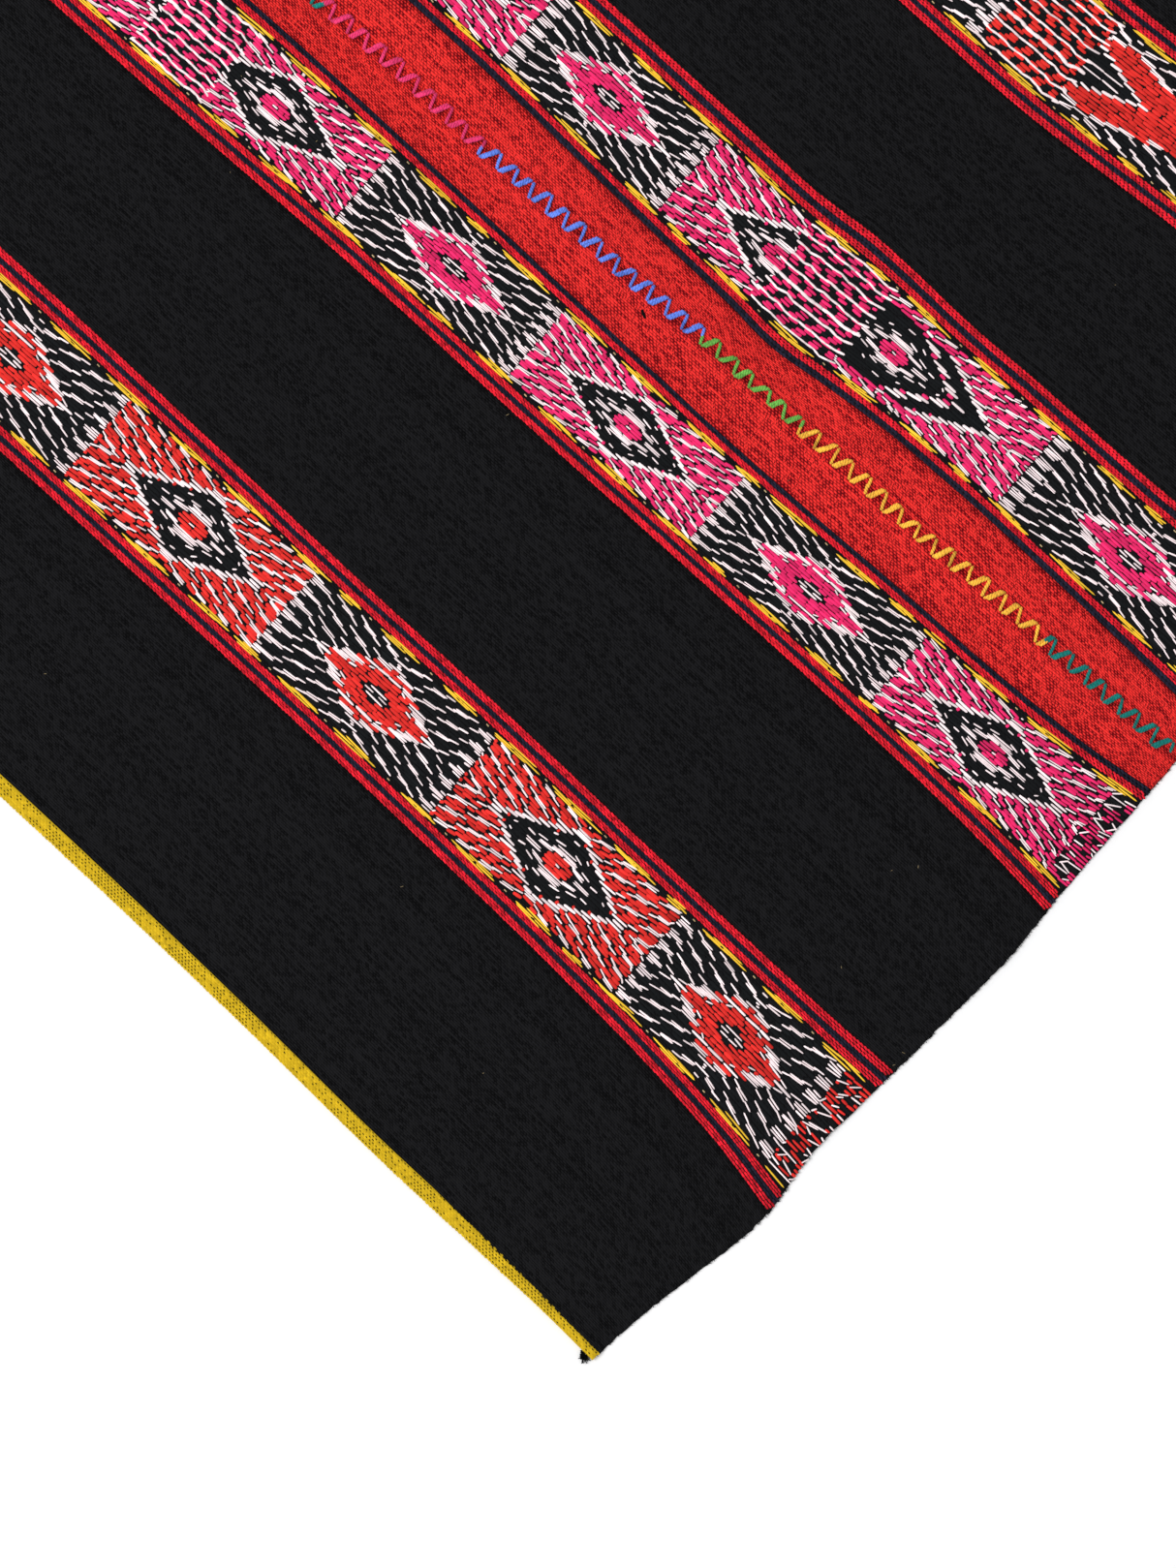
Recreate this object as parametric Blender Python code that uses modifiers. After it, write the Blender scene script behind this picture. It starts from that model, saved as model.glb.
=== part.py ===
"""Andean carrying cloth: two handwoven, warp-faced panels that lie flat and meet at a sewn seam.

Each panel carries a red-ground and a pink-ground pattern band between black fields, beside a red
centre at the seam. A narrow tube is woven round each outer selvedge, and one of them ends in a
small knot. Metres, +Z up. The warp runs along Y and the near end is at -Y. The origin is the
middle of the cloth's box, on the surface that it lies on.
"""

import math

import bmesh
import bpy
import numpy as np
from mathutils import Vector

MM = 0.001
GAP = 0.3 * MM  # between pieces that touch

CLOTH_LENGTH = 900 * MM  # along the warp, at the seam
FIELD_THICKNESS = 1.5 * MM  # plain warp-faced weave
BAND_THICKNESS = 2.0 * MM  # pattern bands, whose floats lie over the ground
SELVEDGE_THICKNESS = 1.0 * MM  # beaten thin inside the tube
BORDER_SLOPE = 1.0 * MM  # half the width over which a band rises from its field

TUBE_WIDTH = 7.4 * MM
TUBE_HEIGHT = 3.2 * MM
TUBE_WALL = 0.8 * MM
TUBE_ROUNDING = 1.3 * MM
SELVEDGE_DEPTH = 4.0 * MM  # how far the tube's groove reaches over the selvedge
SELVEDGE_RISE = 5.0 * MM  # the width over which the selvedge lifts into the tube

KNOT_LENGTH = 6.0 * MM  # along the tube
KNOT_WIDTH = 4.6 * MM
KNOT_HEIGHT = 2.8 * MM
KNOT_LOBES = 0.18  # how far the knot's three lobes stand out, as a share of its size
KNOT_UNDERSIDE = 0.36  # where the knot is cut flat below its middle, as a share of its height
KNOT_FROM_END = 4.0 * MM  # along the tube from its near end

ROWS = 36  # steps along the warp

# Where the stripes of a panel lie, in millimetres from the seam, at a few places along the warp.
# From inside to outside: the pink-ground band's two edges, the red-ground band's two edges and
# the outside of the woven tube.
STRIPES = ("pink_in", "pink_out", "red_in", "red_out", "outside")
LEFT_STATIONS = (
    {"along": 0, "pink_in": 19.5, "pink_out": 96.0, "red_in": 200.4, "red_out": 289.5, "outside": 398.0},
    {"along": 35, "pink_in": 23.6, "pink_out": 92.2, "red_in": 200.6, "red_out": 282.2, "outside": 396.0},
    {"along": 80, "pink_in": 26.2, "pink_out": 89.4, "red_in": 199.7, "red_out": 276.4, "outside": 394.6},
    {"along": 150, "pink_in": 26.9, "pink_out": 87.5, "red_in": 197.9, "red_out": 271.0, "outside": 392.9},
    {"along": 250, "pink_in": 28.0, "pink_out": 86.2, "red_in": 194.6, "red_out": 266.4, "outside": 387.7},
    {"along": 350, "pink_in": 25.7, "pink_out": 85.4, "red_in": 193.2, "red_out": 263.2, "outside": 383.9},
    {"along": 450, "pink_in": 23.2, "pink_out": 83.8, "red_in": 190.2, "red_out": 261.2, "outside": 381.6},
    {"along": 560, "pink_in": 21.4, "pink_out": 84.6, "red_in": 187.6, "red_out": 259.8, "outside": 380.4},
    {"along": 680, "pink_in": 22.4, "pink_out": 84.0, "red_in": 188.0, "red_out": 261.0, "outside": 381.8},
    {"along": 800, "pink_in": 24.0, "pink_out": 86.6, "red_in": 191.6, "red_out": 266.4, "outside": 386.2},
    {"along": 900, "pink_in": 21.5, "pink_out": 91.5, "red_in": 196.0, "red_out": 276.0, "outside": 391.6},
)
RIGHT_STATIONS = (
    {"along": 0, "pink_in": 21.0, "pink_out": 97.0, "red_in": 194.0, "red_out": 278.0, "outside": 389.6},
    {"along": 80, "pink_in": 24.8, "pink_out": 90.8, "red_in": 190.6, "red_out": 266.0, "outside": 387.2},
    {"along": 170, "pink_in": 27.0, "pink_out": 90.0, "red_in": 187.6, "red_out": 260.0, "outside": 384.0},
    {"along": 265, "pink_in": 23.0, "pink_out": 91.4, "red_in": 181.6, "red_out": 254.6, "outside": 380.2},
    {"along": 350, "pink_in": 24.8, "pink_out": 90.4, "red_in": 182.6, "red_out": 252.8, "outside": 377.6},
    {"along": 480, "pink_in": 29.4, "pink_out": 91.4, "red_in": 182.0, "red_out": 251.6, "outside": 376.0},
    {"along": 680, "pink_in": 26.0, "pink_out": 88.6, "red_in": 183.0, "red_out": 254.6, "outside": 377.4},
    {"along": 800, "pink_in": 24.6, "pink_out": 89.4, "red_in": 186.6, "red_out": 260.4, "outside": 380.6},
    {"along": 900, "pink_in": 22.0, "pink_out": 93.6, "red_in": 191.6, "red_out": 270.6, "outside": 386.0},
)

# How far each end edge is set back from the seam's end, in millimetres, by its place across.
LEFT_NEAR_END = {"across": (0, 90, 115, 160, 200, 255, 294, 330, 365, 398),
                 "back": (1.0, 0.4, -1.0, 1.0, 3.8, 7.8, 4.4, 10.4, 17.2, 21.4)}
RIGHT_NEAR_END = {"across": (0, 95, 150, 235, 300, 390), "back": (1.0, -0.8, 1.6, 5.2, 8.6, 15.0)}
LEFT_FAR_END = {"across": (0, 90, 150, 235, 300, 398), "back": (0.0, 1.6, 0.4, 5.0, 4.0, 11.0)}
RIGHT_FAR_END = {"across": (0, 95, 180, 260, 320, 390), "back": (0.0, 1.4, 3.6, 1.8, 6.4, 9.0)}

# Soft rises of the cloth off the surface, where the bands were woven full and the seam draws in.
# Across is from the seam, negative on the left panel, and along is from the near end.
RISES = (
    {"across": 52, "along": 270, "wide": 34, "long": 52, "high": 1.5},
    {"across": -58, "along": 590, "wide": 34, "long": 50, "high": 1.4},
    {"across": 212, "along": 285, "wide": 32, "long": 44, "high": 1.2},
    {"across": 0, "along": 395, "wide": 22, "long": 60, "high": 1.0},
    {"across": 0, "along": 130, "wide": 20, "long": 70, "high": 0.8},
    {"across": 0, "along": 720, "wide": 22, "long": 70, "high": 1.0},
    {"across": -245, "along": 20, "wide": 40, "long": 34, "high": 1.2},
    {"across": -130, "along": 8, "wide": 34, "long": 26, "high": 0.9},
    {"across": -235, "along": 700, "wide": 60, "long": 40, "high": 1.1},
    {"across": 150, "along": 880, "wide": 50, "long": 34, "high": 1.2},
    {"across": 240, "along": 14, "wide": 44, "long": 30, "high": 1.1},
)

# Linear base colours, roughness and metallic value of each piece's finish.
FINISHES = {
    "black_wool": ((0.006, 0.006, 0.008), 0.85, 0.0),
    "yellow_wool": ((0.66, 0.42, 0.02), 0.8, 0.0),
    "black_yarn": ((0.01, 0.01, 0.012), 0.9, 0.0),
}


def smooth_between(xs, ys, x):
    """A cubic through the points of a table whose slopes follow their neighbours."""
    xs, ys = np.array(xs, float), np.array(ys, float)
    slopes = np.gradient(ys, xs)
    i = int(np.clip(np.searchsorted(xs, x) - 1, 0, len(xs) - 2))
    step = xs[i + 1] - xs[i]
    t = min(max((x - xs[i]) / step, 0.0), 1.0)
    return float(
        ys[i] * (1 + 2 * t) * (1 - t) ** 2
        + step * slopes[i] * t * (1 - t) ** 2
        + ys[i + 1] * t * t * (3 - 2 * t)
        + step * slopes[i + 1] * t * t * (t - 1)
    )


def stripe_places(stations, along):
    """Each stripe's distance from the seam, in metres, at a place along the warp."""
    alongs = [row["along"] for row in stations]
    return {
        name: MM * smooth_between(alongs, [row[name] for row in stations], along / MM)
        for name in STRIPES
    }


def set_back(end, across):
    return MM * smooth_between(end["across"], end["back"], across / MM)


def place_along(near_end, far_end, share, across):
    """The place along the warp of a point at a share of the length, between the two end edges."""
    return (
        share * CLOTH_LENGTH
        + (1 - share) * set_back(near_end, across)
        - share * set_back(far_end, across)
    )


def rise(x, along):
    """How far the cloth's underside is off the surface."""
    total = 0.0
    for row in RISES:
        u = (x / MM - row["across"]) / row["wide"]
        v = (along / MM - row["along"]) / row["long"]
        away = math.hypot(u, v)
        if away < 1:
            total += row["high"] * MM * (0.5 + 0.5 * math.cos(math.pi * away))
    return total


def panel_columns(places):
    """Distance from the seam, thickness and selvedge lift of each line of points across a panel."""
    columns = [(GAP / 2, FIELD_THICKNESS, 0.0)]
    field_end = places["outside"] - TUBE_WIDTH - SELVEDGE_RISE
    edges = [0.0] + [places[name] for name in STRIPES[:4]] + [field_end]
    steps = (1, 3, 5, 3, 5)
    for i, count in enumerate(steps):
        thickness = BAND_THICKNESS if i in (1, 3) else FIELD_THICKNESS
        start = edges[i] + (BORDER_SLOPE if i else GAP / 2)
        stop = edges[i + 1] - (BORDER_SLOPE if i + 1 < len(steps) else 0.0)
        for k in range(0 if i else 1, count + 1):
            columns.append((start + (stop - start) * k / count, thickness, 0.0))
    lift = TUBE_WALL + GAP
    columns.append((places["outside"] - TUBE_WIDTH, SELVEDGE_THICKNESS, lift))
    groove_end = places["outside"] - TUBE_WIDTH + SELVEDGE_DEPTH - GAP
    columns.append((groove_end, SELVEDGE_THICKNESS, lift))
    return columns


def new_object(name, data, finish):
    """An object in the cloth's collection, with a material of its own."""
    colour, roughness, metallic = FINISHES[finish]
    material = bpy.data.materials.new(name + "_" + finish)
    material.use_nodes = True
    shader = material.node_tree.nodes["Principled BSDF"]
    shader.inputs["Base Color"].default_value = (*colour, 1.0)
    shader.inputs["Roughness"].default_value = roughness
    shader.inputs["Metallic"].default_value = metallic
    made = bpy.data.objects.new(name, data)
    made.data.materials.append(material)
    bpy.data.collections["andean_carrying_cloth"].objects.link(made)
    return made


def woven_panel(name, side, stations, near_end, far_end):
    """A panel as its underside, thickened upwards by Solidify. side is -1 for the left one."""
    count = len(panel_columns(stripe_places(stations, 0.0)))
    shape = bmesh.new()
    bmesh.ops.create_grid(shape, x_segments=count - 1, y_segments=ROWS, size=1.0)
    thickness_of = []
    for point in shape.verts:
        column = round((point.co.x * side + 1) / 2 * (count - 1))
        share = (point.co.y + 1) / 2
        places = panel_columns(stripe_places(stations, share * CLOTH_LENGTH))
        across, thickness, lift = places[column]
        along = place_along(near_end, far_end, share, across)
        point.co = (side * across, along, lift + rise(side * across, along))
        thickness_of.append(thickness)
    data = bpy.data.meshes.new(name)
    shape.to_mesh(data)
    shape.free()
    panel = new_object(name, data, "black_wool")
    group = panel.vertex_groups.new(name="thickness")
    for index, thickness in enumerate(thickness_of):
        group.add([index], thickness / BAND_THICKNESS, "REPLACE")
    thicken = panel.modifiers.new("thickness", "SOLIDIFY")
    thicken.thickness = BAND_THICKNESS
    thicken.offset = 1.0
    thicken.vertex_group = group.name
    data.shade_smooth()
    data.set_sharp_from_angle(angle=math.radians(40))
    return panel


def tube_section():
    """The woven tube's outline across the warp, from its outside at 0, with the selvedge's groove."""
    corner, wall = TUBE_ROUNDING, TUBE_WALL
    middle, top = TUBE_HEIGHT / 2, TUBE_HEIGHT
    groove = TUBE_WIDTH - SELVEDGE_DEPTH
    lip = 0.4 * TUBE_WALL
    upper = [
        (0.0, middle),
        (0.3 * corner, middle + 0.65 * (top - middle)),
        (corner, top),
        (TUBE_WIDTH - corner, top),
        (TUBE_WIDTH, top - lip),
        (TUBE_WIDTH, top - wall),
        (groove, top - wall),
    ]
    lower = [(x, top - z) for x, z in reversed(upper[1:])]
    return [(-x, z) for x, z in reversed(upper + lower)]


def woven_tube(name, side, stations, near_end, far_end):
    """The tube round a selvedge: its section swept along the outer edge."""
    profile = bpy.data.curves.new(name + "_section", "CURVE")
    profile.dimensions = "2D"
    outline = profile.splines.new("POLY")
    section = tube_section()
    outline.points.add(len(section) - 1)
    for point, (x, z) in zip(outline.points, section):
        point.co = (x, z, 0.0, 1.0)
    outline.use_cyclic_u = True
    guide = bpy.data.objects.new(name + "_section", profile)
    guide.hide_render = True
    guide.display_type = "WIRE"
    bpy.data.collections["guides"].objects.link(guide)

    path = bpy.data.curves.new(name, "CURVE")
    path.dimensions = "3D"
    path.twist_mode = "Z_UP"
    path.resolution_u = 1
    path.bevel_mode = "OBJECT"
    path.bevel_object = guide
    path.use_fill_caps = True
    line = path.splines.new("POLY")
    line.points.add(ROWS)
    for row, point in enumerate(line.points):
        share = row / ROWS if side > 0 else 1 - row / ROWS
        across = stripe_places(stations, share * CLOTH_LENGTH)["outside"]
        along = place_along(near_end, far_end, share, across)
        point.co = (side * across, along, 0.0, 1.0)
    return new_object(name, path, "yellow_wool")


def end_knot(name, side, stations, near_end, far_end):
    """The small knot that ties off the tube's threads, beside its near end."""
    data = bpy.data.meshes.new(name)
    shape = bmesh.new()
    bmesh.ops.create_uvsphere(shape, u_segments=14, v_segments=8, radius=0.5)
    for point in shape.verts:
        x, y, z = point.co
        lobes = 1.0 + KNOT_LOBES * math.cos(3 * math.atan2(y, x))
        flat = max(z, -KNOT_UNDERSIDE) + KNOT_UNDERSIDE
        point.co = (x * lobes * KNOT_WIDTH, y * lobes * KNOT_LENGTH, flat * KNOT_HEIGHT)
    bmesh.ops.remove_doubles(shape, verts=shape.verts, dist=0.01 * MM)
    shape.to_mesh(data)
    shape.free()
    data.shade_smooth()
    knot = new_object(name, data, "black_yarn")
    across = stripe_places(stations, KNOT_FROM_END)["outside"]
    along = place_along(near_end, far_end, KNOT_FROM_END / CLOTH_LENGTH, across)
    reach = 0.5 * KNOT_WIDTH * (1 + KNOT_LOBES)
    knot.location = (side * (across + GAP + reach), along, 0.0)
    return knot


def centre_of(pieces):
    """The middle of the box round these pieces, seen from above."""
    bpy.context.view_layer.update()
    graph = bpy.context.evaluated_depsgraph_get()
    corners = np.array([
        piece.matrix_world @ Vector(corner)
        for piece in pieces
        for corner in piece.evaluated_get(graph).bound_box
    ])
    return (corners.min(axis=0) + corners.max(axis=0)) / 2


def main():
    for thing in list(bpy.data.objects):
        bpy.data.objects.remove(thing, do_unlink=True)
    for name in ("andean_carrying_cloth", "guides"):
        bpy.context.scene.collection.children.link(bpy.data.collections.new(name))
    bpy.data.collections["guides"].hide_render = True

    left = (-1, LEFT_STATIONS, LEFT_NEAR_END, LEFT_FAR_END)
    right = (1, RIGHT_STATIONS, RIGHT_NEAR_END, RIGHT_FAR_END)
    made = [
        woven_panel("panel_left", *left),
        woven_panel("panel_right", *right),
        woven_tube("edge_tube_left", *left),
        woven_tube("edge_tube_right", *right),
        end_knot("edge_knot", *left),
    ]
    middle = centre_of(made)
    for piece in made:
        piece.location.x -= middle[0]
        piece.location.y -= middle[1]


main()
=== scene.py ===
import math

import bpy
import numpy as np
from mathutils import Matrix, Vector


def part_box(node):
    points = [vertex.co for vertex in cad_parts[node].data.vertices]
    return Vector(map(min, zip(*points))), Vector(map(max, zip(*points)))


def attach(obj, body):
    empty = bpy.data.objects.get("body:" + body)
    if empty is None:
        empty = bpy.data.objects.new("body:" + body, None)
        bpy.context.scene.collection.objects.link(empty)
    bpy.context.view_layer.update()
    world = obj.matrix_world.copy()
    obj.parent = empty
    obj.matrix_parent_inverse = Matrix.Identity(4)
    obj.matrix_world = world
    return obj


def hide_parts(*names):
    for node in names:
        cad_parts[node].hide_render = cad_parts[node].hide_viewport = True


# Andean carrying cloth, lying flat: two warp-faced panels sewn edge to edge.
# Tables are in millimetres. Across is from the seam, along is up the warp from the near end.

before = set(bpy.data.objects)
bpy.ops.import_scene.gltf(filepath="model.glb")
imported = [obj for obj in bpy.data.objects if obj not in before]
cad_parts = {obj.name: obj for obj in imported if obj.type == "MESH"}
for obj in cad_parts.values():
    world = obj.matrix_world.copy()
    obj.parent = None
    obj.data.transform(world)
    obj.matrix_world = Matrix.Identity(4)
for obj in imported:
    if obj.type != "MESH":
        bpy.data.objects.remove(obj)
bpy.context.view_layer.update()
scene = bpy.context.scene
scene.view_settings.view_transform = "Standard"  # dyes keep their own strength
dice = np.random.default_rng(11)
mm = 0.001
print("frame loaded")


def dye(red, green, blue):
    # a colour as the eye reads it, 0 to 255, in the linear light that shaders use
    values = np.array((red, green, blue)) / 255
    light = np.where(values <= 0.04045, values / 12.92, ((values + 0.055) / 1.055) ** 2.4)
    return tuple(float(value) for value in light) + (1.0,)


dyes = {
    "black": dye(17, 19, 21),
    "coal": dye(9, 9, 11),
    "hole": dye(40, 8, 10),
    "navy": dye(31, 30, 46),
    "rope": dye(216, 32, 48),
    "scarlet": dye(218, 48, 43),
    "pink": dye(228, 44, 106),
    "white": dye(250, 233, 235),
    "yellow": dye(242, 196, 56),
    "gold": dye(204, 170, 30),
    "cream": dye(180, 160, 120),
    "teal": dye(20, 124, 118),
    "orange": dye(255, 190, 66),
    "green": dye(112, 184, 80),
    "blue": dye(104, 138, 240),
    "rose": dye(240, 60, 118),
}

# Shape of the cloth

cloth = {
    "length": 900.0,  # along the warp, at the seam
    "ground": 1.5,  # thickness of the woven ground
    "selvedge": 1.0,  # thickness where it is beaten thin inside the tube
    "tubeWidth": 7.4,
    "tubeHeight": 3.2,
    "tubeWall": 0.8,
    "selvedgeDepth": 4.0,  # how far the tube reaches over the selvedge
    "selvedgeRise": 5.0,  # the width over which the selvedge lifts into the tube
    "gap": 0.3,
    "end": 1.05,  # from one warp end to the next
    "bump": 2.3,  # from one bump of a warp end to the next, two wefts on
    "join": 0.02,  # from the seam's middle to each panel
    "waver": 0.28,  # of the end edges
    "endThick": (0.55, 0.88),  # thickness of the first two rows of an end edge, as shares
}

tube = {
    "along": (0.0, 34.0, 60.0, 84.0, 116.0),  # mm from the near end
    "wide": (4.6, 4.8, 5.4, 6.2, 7.4),  # visible width there
    "stitch": 2.1,  # along the tube, from one stitch to the next
    "pitch": 1.2,  # across it
    "tooth": 4.3,  # length of the small waves of its inner edge
    "foldOut": 1.3, "foldIn": 1.2,  # where its face starts to bend down at each edge
    "sunk": 0.35,  # from the tube's full height down to its wall, which the stitches cover
    "under": 0.15,  # height of its underside
    "map": 8.0,  # width of the tube that fills its map
    "slant": 0.3,  # of a stitch, each way
    "stitchWide": 1.22, "stitchHigh": 0.5,
    "dotLong": 1.2, "dotWide": 0.5, "dotHigh": 0.56,  # of the dark dots between the columns
}

leftPanel = {
    "side": -1, "name": "Left", "node": "panel_left", "tube": "edge_tube_left",
    "along": (0, 35, 80, 150, 250, 350, 450, 560, 680, 800, 900),
    "pinkIn": (19.5, 23.6, 26.2, 26.9, 28.0, 25.7, 23.2, 21.4, 22.4, 24.0, 21.5),
    "pinkOut": (96.0, 92.2, 89.4, 87.5, 86.2, 85.4, 83.8, 84.6, 84.0, 86.6, 91.5),
    "redIn": (200.4, 200.6, 199.7, 197.9, 194.6, 193.2, 190.2, 187.6, 188.0, 191.6, 196.0),
    "redOut": (289.5, 282.2, 276.4, 271.0, 266.4, 263.2, 261.2, 259.8, 261.0, 266.4, 276.0),
    "outside": (398.0, 396.0, 394.6, 392.9, 387.7, 383.9, 381.6, 380.4, 381.8, 386.2, 391.6),
    "near": {"across": (0, 90, 115, 160, 200, 255, 294, 330, 365, 398),
             "back": (1.0, 0.4, -1.0, 1.0, 3.8, 7.8, 4.4, 10.4, 17.2, 21.4)},
    "far": {"across": (0, 90, 150, 235, 300, 398), "back": (0.0, 1.6, 0.4, 5.0, 4.0, 11.0)},
}
rightPanel = {
    "side": 1, "name": "Right", "node": "panel_right", "tube": "edge_tube_right",
    "along": (0, 80, 170, 216, 251, 272, 305, 355, 480, 680, 800, 900),
    "pinkIn": (21.0, 24.2, 25.8, 24.7, 21.4, 18.9, 20.8, 22.6, 28.0, 26.0, 24.6, 22.0),
    "pinkOut": (97.0, 90.8, 90.0, 89.6, 91.0, 91.2, 88.7, 89.7, 91.0, 88.6, 89.4, 93.6),
    "redIn": (194.0, 190.6, 187.6, 184.3, 182.1, 181.6, 181.9, 182.6, 182.0, 183.0, 186.6, 191.6),
    "redOut": (278.0, 266.0, 260.0, 257.0, 255.1, 254.4, 253.5, 252.8, 251.6, 254.6, 260.4, 270.6),
    "outside": (389.6, 387.2, 384.0, 382.2, 380.8, 379.9, 378.7, 377.5, 376.0, 377.4, 380.6, 386.0),
    "near": {"across": (0, 95, 150, 235, 300, 390), "back": (1.0, -0.8, 1.6, 5.2, 8.6, 15.0)},
    "far": {"across": (0, 95, 180, 260, 320, 390), "back": (0.0, 1.4, 3.6, 1.8, 6.4, 9.0)},
}

# Soft rises of the cloth off the surface: place across and along, reach each way, height.
# Across is negative on the left panel.
rises = (
    (52, 270, 34, 52, 1.5), (-58, 590, 34, 50, 1.4), (212, 285, 32, 44, 1.2),
    (0, 395, 22, 60, 1.0), (0, 130, 20, 70, 0.8), (0, 720, 22, 70, 1.0),
    (-245, 20, 40, 34, 1.2), (-130, 8, 34, 26, 0.9), (-235, 700, 60, 40, 1.1),
    (150, 880, 50, 34, 1.2), (240, 14, 44, 30, 1.1),
)
# Slight waves of the weave over the whole cloth: wavelengths across and along, height.
waves = ((61, 170, 0.10), (-95, 118, 0.10), (33, -74, 0.05), (210, 47, 0.06))

seamX = (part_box("panel_left")[1].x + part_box("panel_right")[0].x) / 2
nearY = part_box("panel_left")[0].y + 1.0 * mm  # the end edge bulges 1 mm past the seam's end


def smoothBetween(xs, ys, x):
    # a smooth curve through a table's points
    xs, ys, x = np.array(xs, float), np.array(ys, float), np.asarray(x, float)
    slopes = np.gradient(ys, xs)
    i = np.clip(np.searchsorted(xs, x) - 1, 0, len(xs) - 2)
    step = xs[i + 1] - xs[i]
    t = np.clip((x - xs[i]) / step, 0, 1)
    return (ys[i] * (1 + 2 * t) * (1 - t) ** 2 + step * slopes[i] * t * (1 - t) ** 2
            + ys[i + 1] * t * t * (3 - 2 * t) + step * slopes[i + 1] * t * t * (t - 1))


def stripeAt(panel, stripe, share):
    return smoothBetween(panel["along"], panel[stripe], share * cloth["length"])


def setBack(end, across):
    return smoothBetween(end["across"], end["back"], across)


def alongAt(panel, share, across):
    near, far = setBack(panel["near"], across), setBack(panel["far"], across)
    return share * cloth["length"] + (1 - share) * near - share * far


def shareAt(panel, along, across):
    near, far = setBack(panel["near"], across), setBack(panel["far"], across)
    return (along - near) / (cloth["length"] - near - far)


def endsAt(panel, across):
    # where the near and far end edges lie along the warp
    return setBack(panel["near"], across), cloth["length"] - setBack(panel["far"], across)


def riseAt(x, along):
    total = np.zeros(np.broadcast(x, along).shape)
    for middleX, middleAlong, wide, long, high in rises:
        away = np.hypot((x - middleX) / wide, (along - middleAlong) / long)
        total += high * (0.5 + 0.5 * np.cos(np.pi * np.minimum(away, 1)))
    return total


def topAt(x, along):
    # height of the woven ground's upper face
    total = cloth["ground"] + riseAt(x, along)
    for acrossWave, alongWave, high in waves:
        total = total + high * np.sin(2 * np.pi * (x / acrossWave + along / alongWave))
    return total


def tubeWide(along):
    # the tube is drawn narrower towards the near end
    return np.interp(along, tube["along"], tube["wide"])


def toWorld(x, along, height):
    x, along, height = np.broadcast_arrays(x, along, height)
    return np.stack([seamX + x * mm, nearY + along * mm, height * mm], -1)


# Making meshes from arrays


def meshPiece(name, points, faceSets, finish, bakeMap=None, weaveMap=None, yarn=None):
    # faceSets are arrays of corner numbers, three or four to a row
    corners = np.concatenate([faces.ravel() for faces in faceSets]).astype(np.int32)
    sizes = np.concatenate([np.full(len(faces), faces.shape[1]) for faces in faceSets])
    data = bpy.data.meshes.new(name)
    data.vertices.add(len(points))
    data.vertices.foreach_set("co", np.asarray(points, np.float32).ravel())
    data.loops.add(len(corners))
    data.loops.foreach_set("vertex_index", corners)
    data.polygons.add(len(sizes))
    starts = np.concatenate([[0], np.cumsum(sizes)[:-1]]).astype(np.int32)
    data.polygons.foreach_set("loop_start", starts)
    data.polygons.foreach_set("use_smooth", np.ones(len(sizes), bool))
    data.update(calc_edges=True)
    for mapName, spots in (("OFBake", bakeMap), ("weave", weaveMap)):
        if spots is not None:
            spots = spots if len(spots) == len(corners) else spots[corners]
            layer = data.uv_layers.new(name=mapName)
            layer.data.foreach_set("uv", np.asarray(spots, np.float32).ravel())
    if yarn is not None:
        layer = data.color_attributes.new(name="yarn", type="FLOAT_COLOR", domain="POINT")
        layer.data.foreach_set("color", np.asarray(yarn, np.float32).ravel())
    data.validate()
    data.materials.append(finish)
    piece = bpy.data.objects.new(name, data)
    scene.collection.objects.link(piece)
    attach(piece, "root")
    return piece


def tiled(acrossShare, alongShare, tile, tiles):
    # a long strip cut into lengths that lie side by side, which fills a square map
    u = (tile + 0.03 + 0.94 * acrossShare) / tiles
    v = 0.03 + 0.94 * (alongShare * tiles - tile)
    return pairs(np.clip(u, 0, 1), np.clip(v, 0, 1))


def tiledFaces(faceSets, acrossShare, alongShare, tiles):
    # the same for each corner of a strip's faces, where a face stays in the length of its middle
    spots = []
    for faces in faceSets:
        middle = alongShare[faces].mean(1, keepdims=True)
        tile = np.floor(np.clip(middle, 0, 0.999) * tiles)
        spots.append(tiled(acrossShare[faces], alongShare[faces], tile, tiles).reshape(-1, 2))
    return np.concatenate(spots)


def pairs(x, along):
    return np.stack([x, along], -1)


def gridFaces(rows, columns, flip=False):
    number = np.arange(rows * columns).reshape(rows, columns)
    faces = np.stack([number[:-1, :-1], number[:-1, 1:], number[1:, 1:], number[1:, :-1]], -1)
    faces = faces.reshape(-1, 4)
    return faces[:, ::-1] if flip else faces


def pipeFaces(rows, sides):
    # the wall of a pipe, and its two caps cut into triangles
    number = np.arange(rows * sides).reshape(rows, sides)
    ahead = np.roll(number, -1, 1)
    wall = np.stack([number[:-1], ahead[:-1], ahead[1:], number[1:]], -1).reshape(-1, 4)
    caps = [(cap[0], cap[k], cap[k + 1]) for cap in (number[0, ::-1], number[-1])
            for k in range(1, sides - 1)]
    return wall, np.array(caps)


# A strand as it lies on the cloth: places along and across it and the height there, all as shares.
strandShapes = {
    "full": {"stations": (0.09, 0.5, 0.91), "swell": (0.84, 1.0, 0.84),
             "ribs": (-1, -0.64, 0, 0.64, 1), "arch": (0, 0.76, 1, 0.76, 0)},
    "low": {"stations": (0.2, 0.8), "swell": (0.95, 0.95), "ribs": (-1, 0, 1), "arch": (0, 1, 0)},
}


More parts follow.
